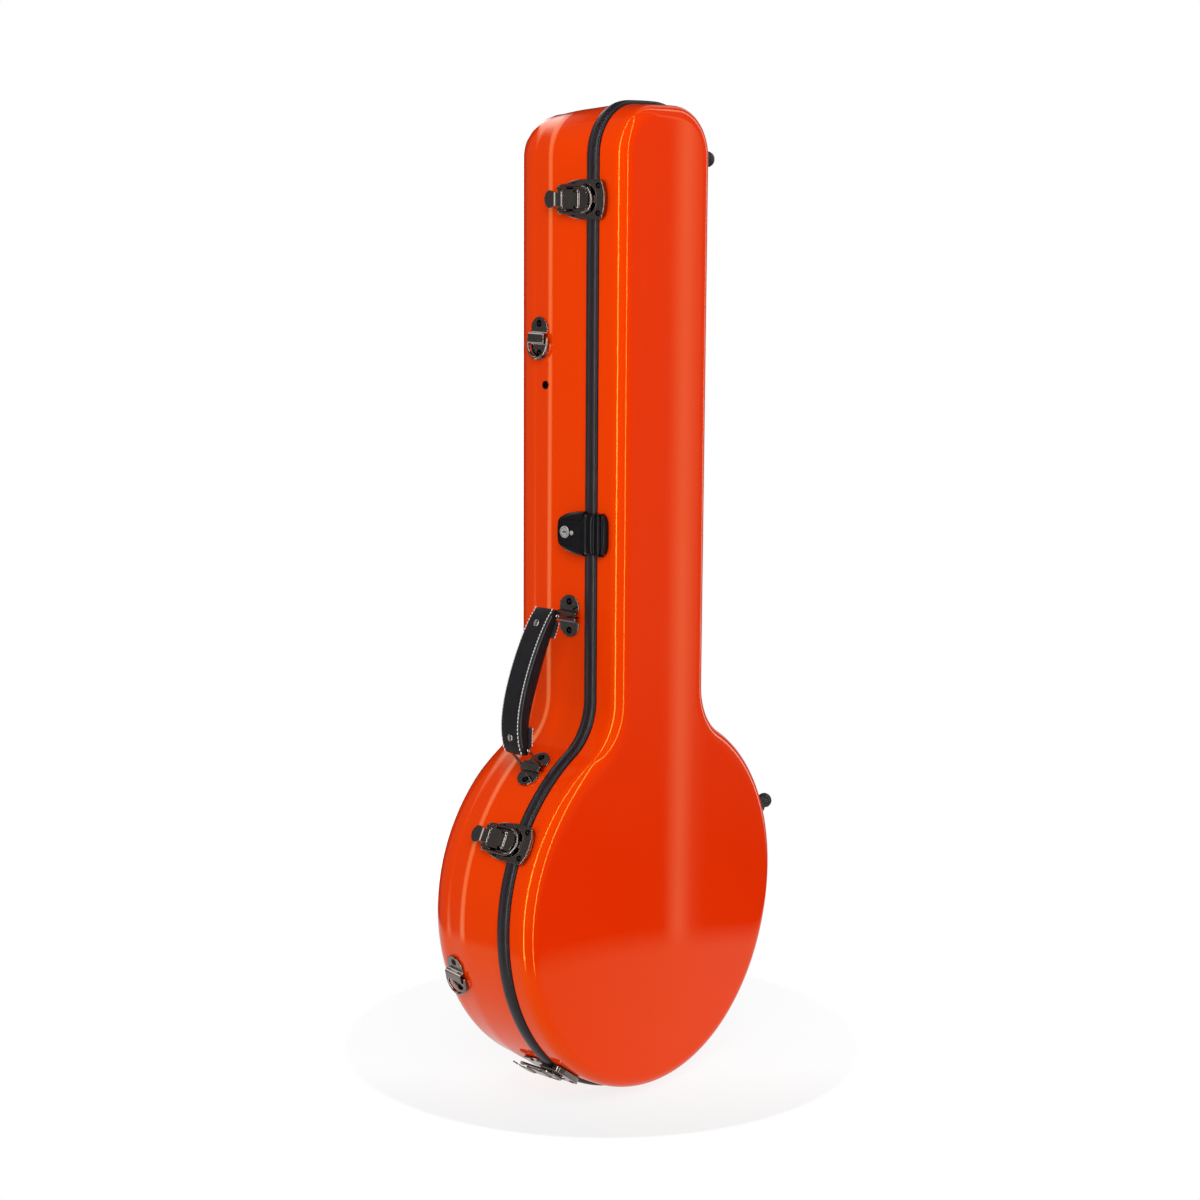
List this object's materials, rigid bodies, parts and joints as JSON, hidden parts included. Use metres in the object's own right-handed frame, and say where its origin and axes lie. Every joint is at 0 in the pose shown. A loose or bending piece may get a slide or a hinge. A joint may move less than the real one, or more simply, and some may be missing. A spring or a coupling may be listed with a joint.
{
  "type": "banjo hard case",
  "caption": "Hard case for a banjo, round at one end with a long parallel neck: lacquered back and lid, plush lining, draw latches, key lock, carrying handle.",
  "frame": {"origin": "centre of the round bay, on the flat resting face of the back shell", "axes": "case lying on its back: +X from the neck end to the round end, +Y from the handle side to the hinge side, +Z from the back shell to the lid"},
  "size_m": [1.068, 0.4253, 0.17],
  "materials": {
    "lacquer": "gloss orange lacquer over a moulded shell",
    "seal": "satin black rubber bead",
    "dark_metal": "polished black nickel",
    "key_metal": "satin grey metal",
    "lock_plastic": "satin black plastic",
    "foot_rubber": "black rubber",
    "strap_leather": "black leather with pale stitching",
    "plush": "short black plush"
  },
  "bodies": {
    "back": {"back_shell": "lacquer", "rim_seal": "seal", "back_liner": "plush", "pot_floor_pad": "plush", "pot_ring_pad": "plush", "neck_floor_pad": "plush", "neck_cradle": "plush", "cradle_screw": "dark_metal", "accessory_box": "plush", "latch_1_base": "dark_metal", "latch_2_base": "dark_metal", "latch_3_base": "dark_metal", "lock_body": "lock_plastic", "handle_bracket_upper": "dark_metal", "handle_bracket_lower": "dark_metal", "strap_bracket_1": "dark_metal", "strap_bracket_2": "dark_metal", "back_foot_head": "foot_rubber", "back_foot_bulb": "foot_rubber", "hinge_neck_back_leaf": "dark_metal", "hinge_neck_pin": "dark_metal", "hinge_bulb_back_leaf": "dark_metal", "hinge_bulb_pin": "dark_metal"},
    "lid": {"lid_shell": "lacquer", "lid_liner": "plush", "latch_1_catch": "dark_metal", "latch_2_catch": "dark_metal", "latch_3_catch": "dark_metal", "lock_strike": "lock_plastic", "lid_foot_head": "foot_rubber", "lid_foot_bulb": "foot_rubber", "hinge_neck_lid_leaf": "dark_metal", "hinge_bulb_lid_leaf": "dark_metal"},
    "lever_1": {"latch_1_lever": "dark_metal"},
    "bail_1": {"latch_1_bail": "dark_metal"},
    "lever_2": {"latch_2_lever": "dark_metal"},
    "bail_2": {"latch_2_bail": "dark_metal"},
    "lever_3": {"latch_3_lever": "dark_metal"},
    "bail_3": {"latch_3_bail": "dark_metal"},
    "key": {"lock_key_cylinder": "key_metal"},
    "button": {"lock_button": "key_metal"},
    "hasp": {"lock_hasp": "lock_plastic"},
    "upper_loop": {"handle_loop_upper": "dark_metal"},
    "grip": {"handle_grip": "strap_leather", "grip_rivet_upper": "key_metal", "grip_rivet_lower": "key_metal"},
    "lower_loop": {"handle_loop_lower": "dark_metal"},
    "ring_1": {"strap_ring_1": "dark_metal"},
    "ring_2": {"strap_ring_2": "dark_metal"},
    "pocket_lid": {"accessory_lid": "plush", "accessory_pull": "strap_leather"}
  },
  "joints": [
    {"name": "lid_hinge", "type": "hinge", "parent": "back", "child": "lid", "pos_m": [-0.03498, 0.2097, 0.128], "axis": [-0.9864, -0.1645, 0], "range_deg": [0, 95]},
    {"name": "latch_1_lever_turn", "type": "hinge", "parent": "back", "child": "lever_1", "pos_m": [-0.754, -0.0802, 0.1143], "axis": [-1, 0, 0], "range_deg": [0, 120]},
    {"name": "latch_1_bail_turn", "type": "hinge", "parent": "lever_1", "child": "bail_1", "pos_m": [-0.754, -0.0802, 0.0875], "axis": [1, 0, 0], "range_deg": [0, 120]},
    {"name": "latch_2_lever_turn", "type": "hinge", "parent": "back", "child": "lever_2", "pos_m": [-0.09588, -0.18818, 0.1143], "axis": [-0.891, 0.454, 0], "range_deg": [0, 120]},
    {"name": "latch_2_bail_turn", "type": "hinge", "parent": "lever_2", "child": "bail_2", "pos_m": [-0.09588, -0.18818, 0.0875], "axis": [0.891, -0.454, 0], "range_deg": [0, 120]},
    {"name": "latch_3_lever_turn", "type": "hinge", "parent": "back", "child": "lever_3", "pos_m": [0.17485, -0.12422, 0.1143], "axis": [-0.5971, -0.8021, 0], "range_deg": [0, 120]},
    {"name": "latch_3_bail_turn", "type": "hinge", "parent": "lever_3", "child": "bail_3", "pos_m": [0.17485, -0.12422, 0.0875], "axis": [0.5971, 0.8021, 0], "range_deg": [0, 120]},
    {"name": "lock_key_turn", "type": "hinge", "parent": "back", "child": "key", "pos_m": [-0.408, -0.08, 0.0995], "axis": [0, -1, 0], "range_deg": [0, 90]},
    {"name": "lock_button_press", "type": "slide", "parent": "back", "child": "button", "axis": [0, 1, 0], "range_m": [0, 0.0012], "stiffness_N_per_m": 400},
    {"name": "lock_hasp_turn", "type": "hinge", "parent": "lid", "child": "hasp", "pos_m": [-0.408, -0.0786, 0.1438], "axis": [-1, 0, 0], "range_deg": [0, 100]},
    {"name": "handle_swing", "type": "hinge", "parent": "back", "child": "upper_loop", "pos_m": [-0.317, -0.0755, 0.098], "axis": [0, 0, 1], "range_deg": [-18, 18]},
    {"name": "grip_turn", "type": "hinge", "parent": "upper_loop", "child": "grip", "pos_m": [-0.32273, -0.108, 0.098], "axis": [0, 0, 1], "range_deg": [-20.93, 20.93]},
    {"name": "lower_loop_turn", "type": "hinge", "parent": "back", "child": "lower_loop", "pos_m": [-0.16116, -0.12911, 0.098], "axis": [0, 0, 1], "range_deg": [-21.31, 21.31]},
    {"name": "strap_ring_1_turn", "type": "hinge", "parent": "back", "child": "ring_1", "pos_m": [-0.609, -0.07318, 0.05051], "axis": [0, 0.1414, -0.9899], "range_deg": [0, 150]},
    {"name": "strap_ring_2_turn", "type": "hinge", "parent": "back", "child": "ring_2", "pos_m": [0.06446, -0.19364, 0.0465], "axis": [-0.0427, 0.1348, -0.9899], "range_deg": [0, 150]},
    {"name": "accessory_lid_turn", "type": "hinge", "parent": "back", "child": "pocket_lid", "pos_m": [-0.312, 0, 0.0622], "axis": [0, 1, 0], "range_deg": [0, 90]}
  ],
  "couplings": [
    {"joint": "latch_1_bail_turn", "follows": "latch_1_lever_turn", "ratio": 1},
    {"joint": "latch_2_bail_turn", "follows": "latch_2_lever_turn", "ratio": 1},
    {"joint": "latch_3_bail_turn", "follows": "latch_3_lever_turn", "ratio": 1},
    {"joint": "grip_turn", "follows": "handle_swing", "ratio": -1.163},
    {"joint": "lower_loop_turn", "follows": "handle_swing", "ratio": 1.184}
  ]
}
